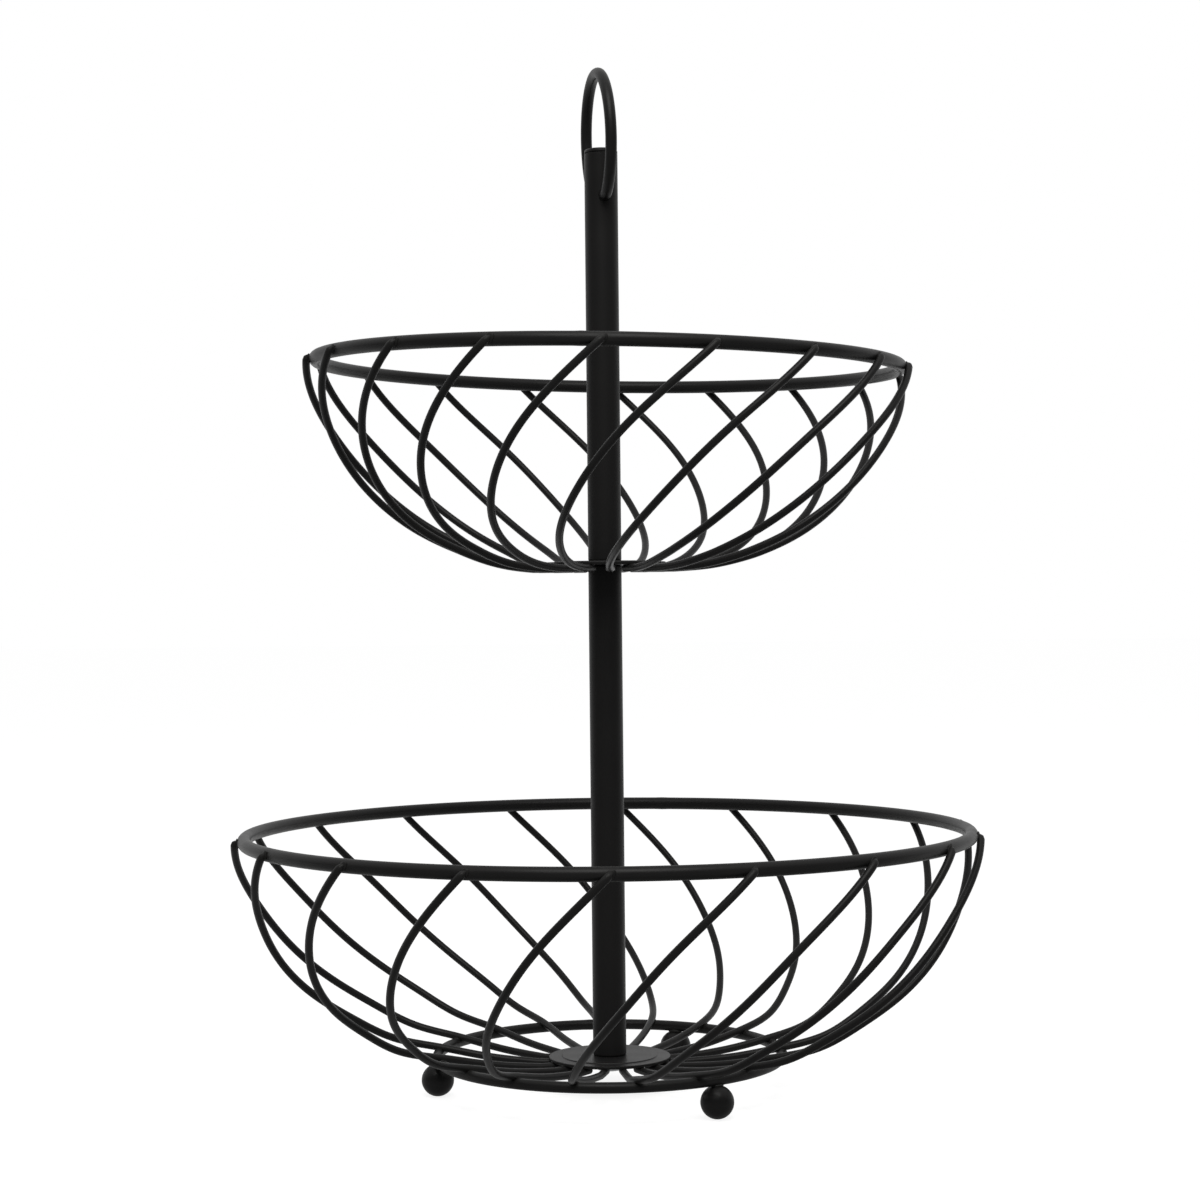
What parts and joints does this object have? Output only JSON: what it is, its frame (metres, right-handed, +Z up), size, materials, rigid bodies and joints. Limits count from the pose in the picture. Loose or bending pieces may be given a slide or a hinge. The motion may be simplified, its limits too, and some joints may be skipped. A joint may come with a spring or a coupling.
{
  "type": "tiered wire basket",
  "caption": "Tiered wire fruit basket: round bowls of swirled ribs on a centre tube with ball feet and a swinging ring handle.",
  "frame": {"origin": "point on the ground under the axis of the centre tube", "axes": "+Z up along the centre tube, -Y towards the viewer of the picture, +X to the right in the picture"},
  "size_m": [0.2981, 0.3015, 0.4119],
  "materials": {
    "black_powder_coat": "satin black powder coat on steel wire, tube and sheet",
    "plated_steel": "bright zinc-plated steel"
  },
  "bodies": {
    "stand": {"lower_rim": "black_powder_coat", "upper_rim": "black_powder_coat", "base_ring": "black_powder_coat", "lower_disc": "black_powder_coat", "upper_disc": "black_powder_coat", "lower_tube": "black_powder_coat", "upper_tube": "black_powder_coat", "tube_cap": "black_powder_coat", "ball_foot_1": "black_powder_coat", "ball_foot_2": "black_powder_coat", "ball_foot_3": "black_powder_coat", "lower_rib_01": "black_powder_coat", "lower_rib_02": "black_powder_coat", "lower_rib_03": "black_powder_coat", "lower_rib_04": "black_powder_coat", "lower_rib_05": "black_powder_coat", "lower_rib_06": "black_powder_coat", "lower_rib_07": "black_powder_coat", "lower_rib_08": "black_powder_coat", "lower_rib_09": "black_powder_coat", "lower_rib_10": "black_powder_coat", "lower_rib_11": "black_powder_coat", "lower_rib_12": "black_powder_coat", "lower_rib_13": "black_powder_coat", "lower_rib_14": "black_powder_coat", "lower_rib_15": "black_powder_coat", "lower_rib_16": "black_powder_coat", "lower_rib_17": "black_powder_coat", "lower_rib_18": "black_powder_coat", "upper_rib_01": "black_powder_coat", "upper_rib_02": "black_powder_coat", "upper_rib_03": "black_powder_coat", "upper_rib_04": "black_powder_coat", "upper_rib_05": "black_powder_coat", "upper_rib_06": "black_powder_coat", "upper_rib_07": "black_powder_coat", "upper_rib_08": "black_powder_coat", "upper_rib_09": "black_powder_coat", "upper_rib_10": "black_powder_coat", "upper_rib_11": "black_powder_coat", "upper_rib_12": "black_powder_coat", "upper_rib_13": "black_powder_coat", "upper_rib_14": "black_powder_coat", "upper_rib_15": "black_powder_coat", "upper_rib_16": "black_powder_coat", "upper_rib_17": "black_powder_coat", "upper_rib_18": "black_powder_coat", "foot_insert": "plated_steel", "lower_tube_insert": "plated_steel", "upper_tube_insert": "plated_steel", "joining_stud": "plated_steel", "base_screw": "plated_steel", "base_washer": "plated_steel"},
    "handle": {"ring_handle": "black_powder_coat"}
  },
  "joints": [
    {"name": "handle_swing", "type": "hinge", "parent": "stand", "child": "handle", "pos_m": [0, 0, 0.36], "axis": [0.1908, -0.9816, 0], "range_deg": [-168, 166]}
  ]
}
